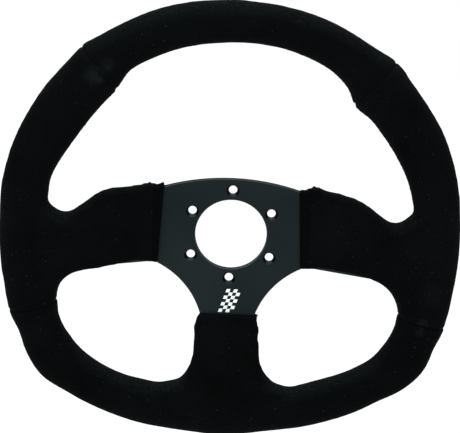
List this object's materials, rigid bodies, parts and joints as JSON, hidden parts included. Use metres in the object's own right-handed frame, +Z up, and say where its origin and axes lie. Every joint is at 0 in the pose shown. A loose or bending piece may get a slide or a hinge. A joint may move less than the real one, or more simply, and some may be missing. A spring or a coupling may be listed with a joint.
{
  "type": "racing steering wheel",
  "caption": "Flat D-shaped steering wheel with a suede-covered padded rim, metal spoke plate and a bolt circle for a quick-release hub.",
  "frame": {"origin": "centre of the hub's bolt circle, on the back face of the spoke plate, where it seats on the hub", "axes": "+Y along the steering axis, from the driver towards the hub; +Z up; +X to the driver's right"},
  "size_m": [0.355, 0.029, 0.3448],
  "materials": {
    "anodised_plate": "satin black anodised, with brighter bevelled edges",
    "frame_steel": "satin zinc-grey paint over steel",
    "rivet_steel": "plain steel",
    "rim_foam": "matte moulded polyurethane foam",
    "pad_foam": "matte closed-cell foam sheet",
    "suede": "black napped suede",
    "thread": "black waxed sewing thread"
  },
  "bodies": {
    "root": {"spoke_plate": "anodised_plate", "rim_ring": "frame_steel", "left_saddle": "frame_steel", "right_saddle": "frame_steel", "bottom_saddle": "frame_steel", "left_rivets": "rivet_steel", "right_rivets": "rivet_steel", "bottom_rivets": "rivet_steel", "rim_foam": "rim_foam", "left_pad_front": "pad_foam", "left_pad_back": "pad_foam", "right_pad_front": "pad_foam", "right_pad_back": "pad_foam", "bottom_pad_front": "pad_foam", "bottom_pad_back": "pad_foam", "cover_top": "suede", "cover_left": "suede", "cover_right": "suede", "cover_bottom": "suede", "top_lacing": "thread", "left_lacing": "thread", "right_lacing": "thread", "upper_left_seam": "thread", "upper_right_seam": "thread", "lower_left_seam": "thread", "lower_right_seam": "thread"}
  },
  "joints": []
}
